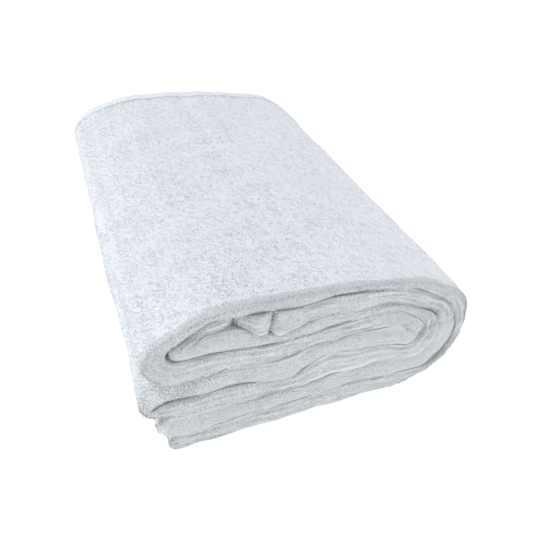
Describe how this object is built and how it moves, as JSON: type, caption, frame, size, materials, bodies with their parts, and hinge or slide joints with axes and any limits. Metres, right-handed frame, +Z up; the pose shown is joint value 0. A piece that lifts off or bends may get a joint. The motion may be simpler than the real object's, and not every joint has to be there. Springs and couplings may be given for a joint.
{
  "type": "folded beach towel",
  "caption": "White terry beach towel folded into a thick flat stack, with round fold ridges at the near end, nested folds at the right and hemmed edges at the far end.",
  "frame": {"origin": "under the middle of the folded towel's bounding box, on the surface it rests on", "axes": "+X across the folds towards the nested right-hand folds, +Y from the near fold ridges to the hemmed far edges, +Z up"},
  "size_m": [0.2408, 0.3602, 0.1114],
  "materials": {
    "terry": "soft matt white cotton terry with a dense looped pile"
  },
  "bodies": {
    "root": {"towel": "terry"}
  },
  "joints": []
}
